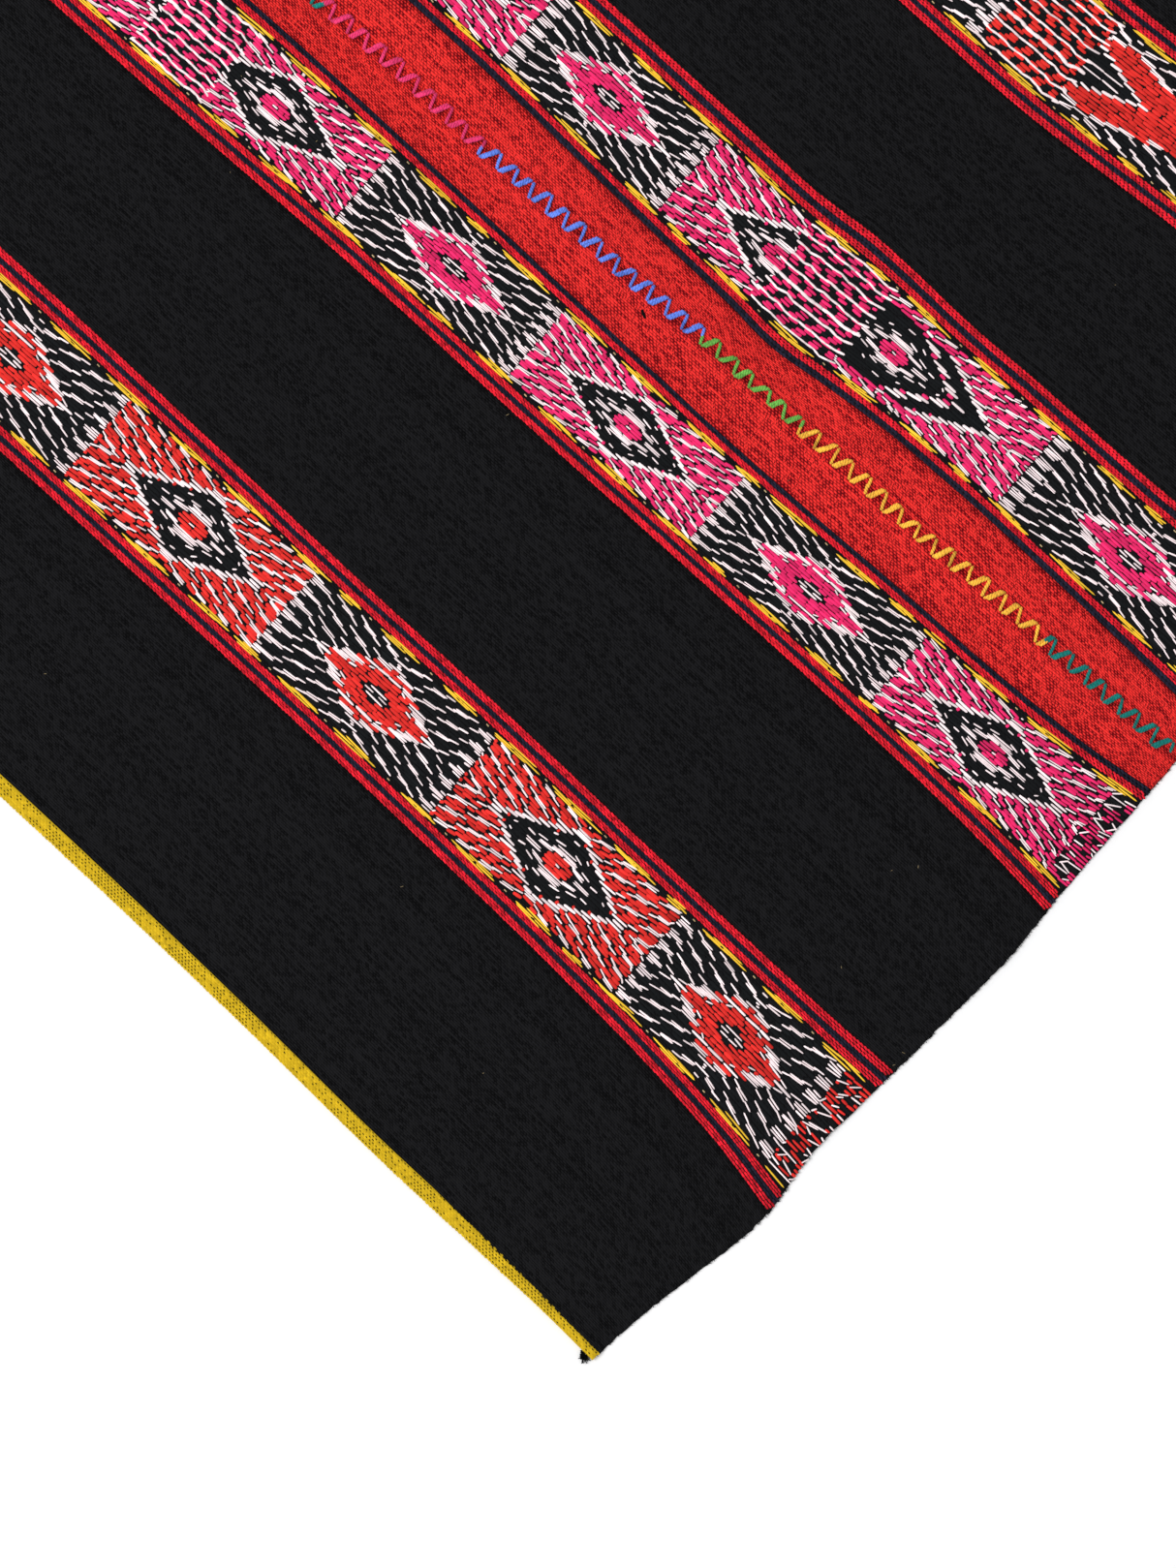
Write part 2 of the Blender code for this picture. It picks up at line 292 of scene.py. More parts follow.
def strandPattern(shape):
    # the points of one strand, its two tips last, and its faces
    ribs, arch = np.array(shape["ribs"]), np.array(shape["arch"])
    places = [(t, rib * swell, height * (0.4 + 0.6 * swell))
              for t, swell in zip(shape["stations"], shape["swell"])
              for rib, height in zip(ribs, arch)]
    count, rows = len(ribs), len(shape["stations"])
    quads = gridFaces(rows, count)
    tips = [(0.0, 0.0, 0.08), (1.0, 0.0, 0.08)]
    first, last = rows * count, rows * count + 1
    ends = [(first, k + 1, k) for k in range(count - 1)]
    ends += [(last, (rows - 1) * count + k, (rows - 1) * count + k + 1) for k in range(count - 1)]
    return np.array(places + tips), quads, np.array(ends)


class Strands:
    # strands gathered for one mesh
    tiles = 4  # lengths that the map is cut into

    def __init__(self):
        self.points, self.quads, self.tris, self.yarn, self.spots, self.count = [], [], [], [], [], 0

    def add(self, start, stop, width, height, colour, lift, spotOf, shape="full", surface=topAt):
        # start and stop are (x, along) rows in mm, spotOf gives (across share, along share)
        start, stop = np.asarray(start, float), np.asarray(stop, float)
        if not len(start):
            return
        pattern, quads, tris = strandPattern(strandShapes[shape])
        run = stop - start
        reach = np.hypot(run[:, 0], run[:, 1])[:, None]
        sideways = pairs(run[:, 1], -run[:, 0]) / reach
        width, height = np.broadcast_to(width, len(start)), np.broadcast_to(height, len(start))
        flat = (start[:, None] + run[:, None] * pattern[None, :, :1]
                + sideways[:, None] * (pattern[None, :, 1:2] * width[:, None, None] / 2))
        x, along = flat[..., 0], flat[..., 1]
        above = surface(x, along) + lift + height[:, None] * pattern[None, :, 2]
        middle = (start + stop) / 2
        tile = np.floor(np.clip(spotOf(middle[:, 0], middle[:, 1])[1], 0, 0.999) * self.tiles)
        spots = tiled(*spotOf(x, along), tile[:, None], self.tiles)
        size = len(pattern)
        offset = self.count + size * np.arange(len(start))[:, None, None]
        self.points.append(toWorld(x, along, above).reshape(-1, 3))
        self.quads.append((quads[None] + offset).reshape(-1, 4))
        self.tris.append((tris[None] + offset).reshape(-1, 3))
        self.yarn.append(np.repeat(np.asarray(colour, float), size, axis=0))
        self.spots.append(spots.reshape(-1, 2))
        self.count += size * len(start)

    def piece(self, name, finish, slot):
        return meshPiece(name, np.concatenate(self.points),
                         [np.concatenate(self.quads), np.concatenate(self.tris)], finish,
                         bakeMap=np.concatenate(self.spots), yarn=np.concatenate(self.yarn))


def shaded(name, count, spread=0.12):
    # a dye with a slightly different strength on each strand
    strength = 1 + spread * dice.standard_normal((count, 1))
    colours = np.array(dyes[name])[None] * np.clip(strength, 0.5, 1.5)
    colours[:, 3] = 1
    return colours


# Finishes


class Wire:
    # an output of a node, on which arithmetic adds Math nodes
    def __init__(self, finish, socket):
        self.finish, self.socket = finish, socket

    def maths(self, operation, other=None, reflected=False):
        inputs = {0: other, 1: self} if reflected else {0: self}
        if other is not None and not reflected:
            inputs[1] = other
        return self.finish.node("Math", {"operation": operation}, inputs)

    def __add__(self, other):
        return self.maths("ADD", other)

    def __mul__(self, other):
        return self.maths("MULTIPLY", other)

    def __sub__(self, other):
        return self.maths("SUBTRACT", other)

    def __rsub__(self, other):
        return self.maths("SUBTRACT", other, reflected=True)

    __radd__, __rmul__ = __add__, __mul__

    def beside(self, output):
        return Wire(self.finish, self.socket.node.outputs[output])


class Finish:
    # a material, and the one way in which nodes join it
    def __init__(self, name, roughness, sheen=0.0):
        self.material = bpy.data.materials.new(name)
        self.material.use_nodes = True
        self.tree = self.material.node_tree
        self.shader = self.tree.nodes["Principled BSDF"]
        self.shader.inputs["Roughness"].default_value = roughness
        self.shader.inputs["Specular IOR Level"].default_value = 0.08
        self.shader.inputs["Sheen Weight"].default_value = sheen
        self.shader.inputs["Sheen Roughness"].default_value = 0.5

    def node(self, kind, settings=None, inputs=None, output=0):
        made = self.tree.nodes.new("ShaderNode" + kind)
        for key, value in (settings or {}).items():
            setattr(made, key, value)
        for key, value in (inputs or {}).items():
            self.feed(made.inputs[key], value)
        return Wire(self, made.outputs[output])

    def feed(self, socket, value):
        if isinstance(value, Wire):
            self.tree.links.new(value.socket, socket)
        else:
            socket.default_value = value

    def mix(self, first, second, share, blend="MIX"):
        settings = {"data_type": "RGBA", "blend_type": blend}
        return self.node("Mix", settings, {0: share, 6: first, 7: second}, output=2)

    def noise(self, place, scale, detail=2.0):
        inputs = {"Vector": place, "Scale": scale, "Detail": detail}
        return self.node("TexNoise", None, inputs)

    def stretched(self, scale):
        place = self.node("TexCoord", output=3)
        return self.node("Mapping", None, {"Vector": place, "Scale": scale})

    def show(self, colour, height, depth):
        inputs = {"Strength": 1.0, "Distance": depth, "Height": height}
        bump = self.node("Bump", None, inputs)
        self.feed(self.shader.inputs["Base Color"], colour)
        self.feed(self.shader.inputs["Normal"], bump)
        return self.material


def plainWeave(name, look):
    # warp ends side by side, each a row of bumps, set half a bump on from its neighbour
    finish = Finish(name, look["roughness"])
    weave = finish.node("UVMap", {"uv_map": "weave"})
    across = finish.node("SeparateXYZ", None, {0: weave})
    along = across.beside(1)
    wander = finish.noise(finish.stretched((90, 25, 90)), 1.0) - 0.5
    across = across + wander * look["wander"]
    end = across.maths("FLOOR")
    inEnd = across - end - 0.5
    wave = along - end * 0.5 - inEnd * look["slant"]
    bump = (wave * math.pi).maths("SINE")
    bump = bump * bump
    arch = 1 - inEnd * inEnd * 4
    height = arch * (bump * (1 - look["flat"]) + look["flat"])
    spot = finish.node("CombineXYZ", None, {0: end, 1: wave.maths("FLOOR")})
    chance = finish.node("TexWhiteNoise", {"noise_dimensions": "2D"}, {"Vector": spot})
    tone = finish.node("TexWhiteNoise", {"noise_dimensions": "1D"}, {"W": end})
    drift = finish.noise(finish.stretched((14, 9, 14)), 1.0, 3.0)
    speck = finish.noise(finish.stretched((1500, 700, 1500)), 1.0)
    change = (tone - 0.5) * look["streaks"] + (drift - 0.5) * look["drift"]
    change = change + (speck - 0.5) * look["specks"] + (chance - 0.5) * look["bumps"]
    # painted shade: the colour runs from the dye on a bump's top to a darker colour in the hollows
    # between bumps, with random tone added
    light = (height * 1.25 + change).maths("MAXIMUM", 0.0).maths("MINIMUM", 1.0)
    cluster = finish.noise(finish.stretched((55, 30, 55)), 1.0, 3.0)
    rare = chance + (cluster - 0.5) * look["clusters"]
    middle = (bump * arch).maths("GREATER_THAN", 0.78)
    gap = rare.maths("GREATER_THAN", 1 - look["gaps"]) * middle
    colour = finish.mix(finish.mix(look["hollowShade"], look["dye"], light), dyes["hole"], gap)
    return finish.show(colour, height + speck * 0.3, look["depth"] * mm)


# In each look the dye is for a bump's top, and the darker colour is painted shade for the hollows
# between bumps.
groundLook = {
    "dye": dye(22, 22, 24), "hollowShade": dye(8, 8, 10), "roughness": 0.9,
    "slant": 0.5,  # of a bump across its warp end
    "flat": 0.3,  # share of the height that the hollows between bumps keep
    "wander": 0.6,  # of the warp ends, in ends
    "streaks": 0.2, "drift": 0.2, "specks": 0.4, "bumps": 0.4,  # of the shade
    "depth": 0.35,
    "gaps": 0.0, "clusters": 0.0,  # dark pits between warp ends, and how they gather
}
fieldLook = {
    **groundLook, "dye": dye(24, 24, 26), "hollowShade": dye(3, 3, 4), "slant": 0.3, "flat": 0.5,
    "wander": 1.5, "streaks": 0.5, "drift": 0.15, "specks": 1.1, "bumps": 1.0,
}
centreLook = {
    **fieldLook, "dye": dye(255, 54, 50), "hollowShade": dye(98, 0, 10), "roughness": 0.8, "flat": 0.25,
    "streaks": 0.35, "drift": 0.12, "specks": 0.7, "bumps": 0.9, "depth": 0.4,
    "gaps": 0.08, "clusters": 0.9,
}


def spunYarn(name, roughness=0.75, sheen=0.0, depth=0.12):
    # yarn that shows the colour of each strand, with fibres along the warp
    finish = Finish(name, roughness, sheen)
    strand = finish.node("Attribute", {"attribute_name": "yarn"})
    fibre = finish.noise(finish.stretched((4200, 900, 4200)), 1.0)
    patch = finish.noise(finish.stretched((420, 160, 420)), 1.0)
    light = fibre * 0.5 + patch * 0.4 + 0.55
    grey = finish.node("CombineXYZ", None, {0: light, 1: light, 2: light})
    colour = finish.mix(strand, grey, 1.0, "MULTIPLY")
    return finish.show(colour, fibre, depth * mm)


fieldFinish = plainWeave("blackPlainWeave", fieldLook)
centreFinish = plainWeave("redPlainWeave", centreLook)
groundFinish = plainWeave("patternGround", groundLook)
floatFinish = spunYarn("patternYarn")
ropeFinish = spunYarn("borderYarn")
tubeFinish = spunYarn("tubeYarn")
seamFinish = spunYarn("sewingYarn", 0.6, 0.1)
fuzzFinish = spunYarn("looseFibres", 0.9)
print("finishes made")

# Ground of the cloth: one strip for each stripe, which meet edge to edge

rowCount = 180
nearRows = np.array([0.0, 0.8, 2.2]) / cloth["length"]
rowShares = np.concatenate([nearRows, np.linspace(0.006, 0.994, rowCount), 1 - nearRows[::-1]])
edgeDrop = np.ones(len(rowShares))  # the end edges are rounded off
for row, thick in enumerate(cloth["endThick"]):
    edgeDrop[[row, -1 - row]] = thick

strips = (
    {"name": "RedCentre", "inner": None, "outer": "pinkIn", "columns": 9,
     "finish": centreFinish, "slot": "red_wool", "tiles": 5},
    {"name": "PinkBandGround", "inner": "pinkIn", "outer": "pinkOut", "columns": 14,
     "finish": groundFinish, "slot": "pattern_wool", "tiles": 4},
    {"name": "InnerField", "inner": "pinkOut", "outer": "redIn", "columns": 40,
     "finish": fieldFinish, "slot": "black_wool", "tiles": 3},
    {"name": "RedBandGround", "inner": "redIn", "outer": "redOut", "columns": 14,
     "finish": groundFinish, "slot": "pattern_wool", "tiles": 4},
    {"name": "OuterField", "inner": "redOut", "outer": "outside", "columns": 42,
     "finish": fieldFinish, "slot": "black_wool", "tiles": 3},
)


def woolStrip(panel, strip):
    shares = rowShares[:, None]
    inner = stripeAt(panel, strip["inner"], shares) if strip["inner"] else cloth["join"]
    outer = stripeAt(panel, strip["outer"], shares)
    steps = np.linspace(0, 1, strip["columns"])[None]
    lift = np.zeros(strip["columns"])
    thickness = np.full(strip["columns"], cloth["ground"])
    if strip["outer"] == "outside":
        grooveEdge = outer - tubeWide(shares * cloth["length"])
        body = inner + (grooveEdge - cloth["selvedgeRise"] - inner) * steps
        inTube = grooveEdge + cloth["selvedgeDepth"] - cloth["gap"]
        across = np.concatenate([body, grooveEdge, inTube], 1)
        raised = cloth["tubeWall"] + cloth["gap"]
        lift = np.concatenate([lift, [raised, raised]])
        thickness = np.concatenate([thickness, [cloth["selvedge"]] * 2])
    else:
        across = inner + (outer - inner) * steps
    columns = across.shape[1]
    along = alongAt(panel, shares, across)
    ragged = dice.normal(0, cloth["waver"], (2, columns))
    along[0] += ragged[0]
    along[-1] += ragged[1]
    x = panel["side"] * across
    bottom = lift + riseAt(x, along)
    waviness = topAt(x, along) - cloth["ground"] - riseAt(x, along)
    top = bottom + thickness * edgeDrop[:, None] + waviness * (lift == 0)
    rows = len(rowShares)
    upper, lower = gridFaces(rows, columns), gridFaces(rows, columns, True) + rows * columns
    number = np.arange(rows * columns).reshape(rows, columns)
    rim = np.concatenate([number[0, :-1], number[:-1, -1], number[-1, :0:-1], number[:0:-1, 0]])
    ahead = np.roll(rim, -1)
    walls = np.stack([rim + rows * columns, ahead + rows * columns, ahead, rim], -1)
    faces = np.concatenate([upper, lower, walls])
    if panel["side"] < 0:
        faces = faces[:, ::-1]
    points = np.concatenate([toWorld(x, along, top).reshape(-1, 3),
                             toWorld(x, along, bottom).reshape(-1, 3)])
    wide = float(np.mean(across[:, -1] - across[:, 0]))
    acrossShare = (across - across[:, :1]) / (across[:, -1:] - across[:, :1])
    ends = panel["side"] * acrossShare * round(wide / cloth["end"])
    weave = np.tile(pairs(ends, along / cloth["bump"]).reshape(-1, 2), (2, 1))
    alongShare = np.broadcast_to(shares, across.shape)
    bake = tiledFaces([faces], np.tile(acrossShare.ravel(), 2), np.tile(alongShare.ravel(), 2),
                      strip["tiles"])
    name = panel["name"].lower() + strip["name"]
    piece = meshPiece(name, points, [faces], strip["finish"],
                      bakeMap=bake, weaveMap=weave)
    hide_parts(panel["node"])
    return piece


for panel in (leftPanel, rightPanel):
    for strip in strips:
        woolStrip(panel, strip)
print("ground woven")

# Pattern bands

# Widths in mm of a band's border stripes, at the band's nominal width.
border = {"rope": 3.4, "navy": 2.4, "innerRed": 3.0, "dashLane": 2.6}
edging = ("rope", "navy", "innerRed", "dashLane")  # their order inwards
pattern = {
    "columns": 27,  # strands across the pattern
    "row": 1.21,  # one step of the pattern along the warp
    "halfHeight": 31.5,  # of a diamond, in rows
    "halfWidth": 10.3,  # of a diamond, in columns
    "strand": 1.52,  # widest part of a strand, mm
    "pitch": 1.75,  # from one column to the next, mm, where a strand is that wide
    "fullness": {"dye": 1.18, "white": 0.96, "black": 1.14},  # each yarn's share of that width
    # the share in thin, middling, whole and double strokes
    "boldness": (0.62, 0.78, 1.0, 0.6),
    "slimmest": 0.7, "fattest": 2.2,  # limits of the width
    "longest": {"dye": 5.2, "white": 9.0, "black": 9.0},  # rows before a run is cut
    "leastBlack": 2.5,  # rows of black below which the ground shows
    "sway": {"dye": 0.2, "white": 0.34},  # columns that a leaning strand moves
    "overlap": {"dye": 0.25, "white": 0.1},  # past each end of a run, mm
    "apart": 0.28,  # of a double stroke's two strands from its middle, in columns
    "height": 0.55,  # how far a strand stands up
}

# The blocks of each band, from the near end up: kind, where it stops, its diamond's middle,
# then what differs from the usual diamond. Dark is a black ground with a coloured diamond,
# light is the other way round.


def blocks(*rows):
    made, start = [], 0
    for kind, stop, centre, *more in rows:
        made.append({"kind": kind, "start": start, "stop": stop, "centre": centre, **dict(*more)})
        start = stop
    return made


pinkKind = {"inner": "pinkIn", "outer": "pinkOut", "dye": "pink", "innerRope": False}
redKind = {"inner": "redIn", "outer": "redOut", "dye": "scarlet", "innerRope": True}
bands = (
    {**pinkKind, "name": "pinkBandLeft", "panel": leftPanel, "wide": 61.0, "blocks": blocks(
         ("jumble", 14, 7), ("light", 129, 69), ("dark", 244.5, 185.4), ("light", 360, 301.3),
         ("dark", 471.5, 414), ("light", 557, 527), ("net", 598, 577), ("light", 634, 570),
         ("dark", 750, 692), ("light", 866, 808), ("dark", 886, 924), ("jumble", 900, 893))},
    {**redKind, "name": "redBandLeft", "panel": leftPanel, "wide": 70.0, "blocks": blocks(
         ("jumble", 21.6, 12), ("dark", 128.8, 73.6), ("light", 250.7, 188.6),
         ("dark", 366.6, 306.8), ("light", 486.7, 425.5), ("dark", 604, 542.8),
         ("light", 721, 662), ("dark", 838, 779), ("light", 884, 896), ("jumble", 900, 892))},
    {**pinkKind, "name": "pinkBandRight", "panel": rightPanel, "wide": 64.0, "navy": 3.0,
     "blocks": blocks(
         ("jumble", 16, 8), ("dark", 146.3, 80.5),
         ("light", 250, 253, {"halfHeight": 68.0, "motif": 230, "innerHalf": 36.5}),
         ("net", 297, 273), ("light", 358.8, 253, {"halfHeight": 68.0, "motif": 301}),
         ("dark", 462.3, 411.7), ("light", 578, 520), ("dark", 693, 635), ("light", 808, 750),
         ("dark", 885, 866), ("jumble", 900, 892))},
    {**redKind, "name": "redBandRight", "panel": rightPanel, "wide": 71.0, "blocks": blocks(
         ("jumble", 24, 12), ("light", 140, 82),
         ("dark", 253, 239, {"halfHeight": 70.0, "halfWidth": 11.8, "innerHalf": 20.0}),
         ("net", 299, 276), ("dark", 376, 262), ("light", 492, 434), ("dark", 608, 550),
         ("light", 724, 666), ("dark", 840, 782), ("light", 884, 898), ("jumble", 900, 892))},
)

# What fills the middle of each diamond: strokes by their column and their first and last row,
# both from the diamond's middle. A later stroke covers an earlier one.
lightMotif = {
    "dye": ((0, 1.2, 7), (1, 0, 6.5), (2, 0, 4)),
    "white": ((0, 0, 1.2), (1, 23, 24.6), (3, 9, 13.5), (5, 2.5, 7), (6, 7.5, 9.5), (8, 0, 1.6)),
    "double": ((0, 9, 17), (2, 5, 12), (3, 0, 6.5), (4, 0, 5.5)),
    "upright": ((2, 15, 18.5),),
}
darkMotif = {
    "black": ((0, 0, 8), (1, 0, 6), (2, 0, 2)),
    "dye": ((8, 0, 1.5),),
    "white": ((0, 1.5, 6), (0, 25.5, 31), (1, 0, 4.5), (1, 26, 30), (2, 13, 16.5), (5, 7, 9.5),
              (6, 0, 5.5), (9, 0, 5)),
}
strokes = {  # yarn, lean and boldness of each kind of stroke
    "black": ("black", 0.0, 1), "dye": ("dye", 0.0, 1), "white": ("white", 0.9, 0),
    "double": ("white", 0.9, 2), "upright": ("white", 0.0, 0),
}
# One unit of the slanting white lines: column, first and last row, boldness.
lineUnit = ((0, 0, 6.5, 2), (1, 5.7, 10.5, 0), (3, 8.8, 13, 0))
lineRepeat = {"columns": 4, "rows": 12, "tie": 1.4}  # tie: rows of black after each white on dye
yarnCodes = {"black": 0, "dye": 1, "white": 2}
# A diamond's lines, in rows: its white outline from inside to outside its edge, the black within,
# a coloured diamond's white rim and the outline of its dark middle.
diamond = {"inside": 0.5, "outside": 4.7, "black": 1.0, "rim": 7.5, "second": 7.0, "middle": 5.5}
rowStep = 0.5  # the chart's resolution, in rows


class Chart:
    # a block's strands before they are cut to length: a yarn, a lean and a width for each place
    def __init__(self, block, ground):
        self.columns = np.arange(pattern["columns"])[:, None] - (pattern["columns"] - 1) / 2
        rows = (block["stop"] - block["start"]) / pattern["row"]
        self.rows = (np.arange(round(rows / rowStep)) + 0.5)[None] * rowStep
        self.last = rows
        self.v = self.rows + (block["start"] - block["centre"]) / pattern["row"]
        shape = (pattern["columns"], self.rows.shape[1])
        self.yarn = np.full(shape, yarnCodes[ground])
        self.lean = np.zeros(shape)
        self.bold = np.ones(shape)

    def paint(self, where, yarn, lean=0.0, bold=1.0):
        where = np.broadcast_to(where, self.yarn.shape)
        self.yarn[where] = yarnCodes[yarn]
        self.lean[where] = np.broadcast_to(lean, self.yarn.shape)[where]
        self.bold[where] = bold


def chartLines(chart, origin, firstRow, tied=False):
    u, v = np.abs(chart.columns), np.abs(chart.v)
    lean = np.sign(chart.columns) * np.sign(chart.v)
    for column, first, last, bold in lineUnit:
        inColumn = (u - origin - column) % lineRepeat["columns"] == 0
        phase = (v - firstRow - first) % lineRepeat["rows"]
        reach = last - first
        if tied:  # the dye's floats start again a little after a white one
            chart.paint(inColumn & (phase >= reach) & (phase < reach + lineRepeat["tie"]), "black")
        chart.paint(inColumn & (phase < reach), "white", lean, bold)


def chartMotif(chart, motif, offset):
    u, v = np.abs(chart.columns), np.abs(chart.v - offset)
    turn = -np.sign(chart.columns) * np.sign(chart.v - offset)
    for kind, places in motif.items():
        yarn, lean, bold = strokes[kind]
        for column, first, last in places:
            chart.paint((u == column) & (v >= first) & (v < last), yarn, turn * lean, bold)


def chartDiamond(chart, block, kind):
    # the diamond's outline and filling; edge is its half height in each column, in rows
    u, v = np.abs(chart.columns), np.abs(chart.v)
    halfHeight = block.get("halfHeight", pattern["halfHeight"])
    slope = pattern["halfHeight"] / pattern["halfWidth"]
    if "halfWidth" in block:
        slope = halfHeight / block["halfWidth"]
    edge = halfHeight - slope * u
    lean = -np.sign(chart.columns) * np.sign(chart.v)
    narrow = u <= pattern["halfWidth"]
    offset = (block.get("motif", block["centre"]) - block["centre"]) / pattern["row"]
    if kind == "light":
        line = narrow & (v >= edge - diamond["inside"]) & (v < edge + diamond["outside"])
        chart.paint(line, "white", lean * 0.5, 1)
        chart.paint((u > 10) & (u < 12) & (v < 3.5), "white", 0.0, 2)
        chart.paint(narrow & (v < edge - diamond["black"]), "black")
        if "innerHalf" in block:
            # a second outline round the motif, on the side towards the near end
            below = offset - chart.v
            beyond = below - block["innerHalf"] + 2.6 * u
            line = (below > 4) & (beyond >= -diamond["second"]) & (beyond < 0)
            chart.paint(line & (u % 3 != 1), "white", lean * 0.4, 1)
            chart.paint(line & (u % 3 == 1) & (beyond < -4), "dye")
        chartMotif(chart, lightMotif, offset)
    else:
        chart.paint(narrow & (v < edge), "dye")
        rim = narrow & (v < edge) & (v >= edge - diamond["rim"])
        chart.paint(rim & (u != 5) & (u != 1) & (u != 7), "white", lean * 0.4, 2)
        if "innerHalf" in block:
            # a dark middle that runs to a point towards the near end
            beyond = -chart.v - block["innerHalf"] + 4.5 * u
            chart.paint(beyond < 0, "white", lean * 0.6, 1)
            chart.paint(beyond < -diamond["middle"], "black")
            chart.paint((beyond < -9) & (chart.v > -9) & (u == 1), "white", lean, 0)
            chart.paint((beyond < -14) & (chart.v > -2) & (u == 4), "white", lean, 1)
        else:
            chartMotif(chart, darkMotif, offset)


endWhites = ((0, 7.5), (1, 4.5), (3, 2.8))  # at a dark block's ends: column of the unit, rows
jumble = {
    "reach": (1.8, 4.5),  # rows of one yarn
    "yarns": {"dye": 0.42, "white": 0.36, "black": 0.22},  # how often each comes
    "lean": (-1.5, 3.5),  # of the white strands
}
net = {
    "lines": (0.0, 3.4, 6.8, 10.0, 13.3, 16.6, 20.0, 23.4, 26.2),  # columns of the white lines
    "share": (0.0, 0.08, 0.2, 0.5, 0.64, 0.78, 0.9, 1.0),  # of the net's length
    "sway": (1.0, -0.9, 0.3, 0.5, -0.1, 0.7, -0.2, 0.3),  # mm away from the seam there
    "lane": 3.43,  # columns from line to line, where the coloured strands stop
    "repeat": 8, "float": 4.4,  # rows from one coloured strand to the next, and its length
    "jitter": 0.22,  # of the lines, mm
}


def chartBlock(block):
    kind = block["kind"]
    if kind == "light":
        chart = Chart(block, "dye")
        chart.lean[:] = np.sign(chart.columns) * np.sign(chart.v)
        chartLines(chart, 1, 6, tied=True)
        chartDiamond(chart, block, kind)
    elif kind == "dark":
        chart = Chart(block, "black")
        chartLines(chart, 0, 3)
        chartDiamond(chart, block, kind)
        u = np.abs(chart.columns)
        for column, reach in endWhites:
            near = (chart.rows < reach) | (chart.rows > chart.last - reach)
            if "innerHalf" in block:  # a net follows on the far side, with no row of whites
                near = chart.rows < reach
            chart.paint((u % 4 == column) & near, "white", 0.0, 2 if column == 0 else 0)
    elif kind == "jumble":
        chart = Chart(block, "black")
        for column in range(pattern["columns"]):
            row = 0.0
            while row < chart.last:
                reach = dice.uniform(*jumble["reach"])
                yarn = dice.choice(list(jumble["yarns"]), p=list(jumble["yarns"].values()))
                where = (chart.rows[0] >= row) & (chart.rows[0] < row + reach)
                chart.yarn[column, where] = yarnCodes[yarn]
                lean = dice.uniform(*jumble["lean"]) if yarn == "white" else 0.3
                chart.lean[column, where] = lean
                chart.bold[column, where] = 0 if yarn == "white" else 0.5
                row += reach
    else:
        chart = Chart(block, "black")
        lane = np.round((chart.columns + 13) % net["lane"])
        stagger = np.floor(chart.columns / 2) % 2 * 4
        beat = (chart.rows + stagger + 2 * np.sin(chart.columns)) % net["repeat"]
        chart.paint((lane != 0) & (beat < net["float"]), "dye")
    return chart


yarnNames = {code: name for name, code in yarnCodes.items()}


def cutStrands(chart):
    # the chart's runs of one yarn in each column, with long plain runs cut into shorter strands
    found = []
    for column in range(pattern["columns"]):
        yarn = chart.yarn[column]
        bounds = np.concatenate([[0], np.flatnonzero(np.diff(yarn)) + 1, [len(yarn)]])
        for first, last in zip(bounds[:-1], bounds[1:]):
            kind = yarn[first]
            start, stop = first * rowStep, last * rowStep
            lean, bold = chart.lean[column, first:last].mean(), chart.bold[column, first:last].mean()
            longest = pattern["longest"][yarnNames[kind]]
            if kind == yarnCodes["black"] and stop - start < pattern["leastBlack"]:
                continue
            parts = max(1, round((stop - start) / longest + 0.3 * dice.standard_normal()))
            cuts = np.linspace(start, stop, parts + 1)
            cuts[1:-1] += dice.normal(0, 0.5, parts - 1)
            for low, high in zip(cuts[:-1], cuts[1:]):
                found.append((column, low, high, kind, lean, bold))
    return np.array(found)


def bandPlace(band, lane, along):
    # how far from the seam a place of the band is; lane is in mm of the band's nominal width
    panel = band["panel"]
    rough = shareAt(panel, along, stripeAt(panel, band["inner"], along / cloth["length"]))
    middle = (stripeAt(panel, band["inner"], rough) + stripeAt(panel, band["outer"], rough)) / 2
    share = np.clip(shareAt(panel, along, middle), 0, 1)
    inner, outer = stripeAt(panel, band["inner"], share), stripeAt(panel, band["outer"], share)
    return inner + (outer - inner) * lane / band["wide"]


def bandSpot(band):
    # the place on the band's map of a point of the cloth
    def spotOf(x, along):
        inner, outer = bandPlace(band, 0.0, along), bandPlace(band, band["wide"], along)
        across = (np.abs(x) - inner) / (outer - inner)
        return np.clip(across, -0.02, 1.02), along / cloth["length"]
    return spotOf


def lanes(band):
    # where the border stripes and the pattern lie across a band, in mm from its inside
    widths = [0.0] + [band.get(name, border[name]) for name in edging]
    outer = band["wide"] - np.cumsum(widths)
    if not band["innerRope"]:
        widths[1] = 0.0
    return np.cumsum(widths), outer


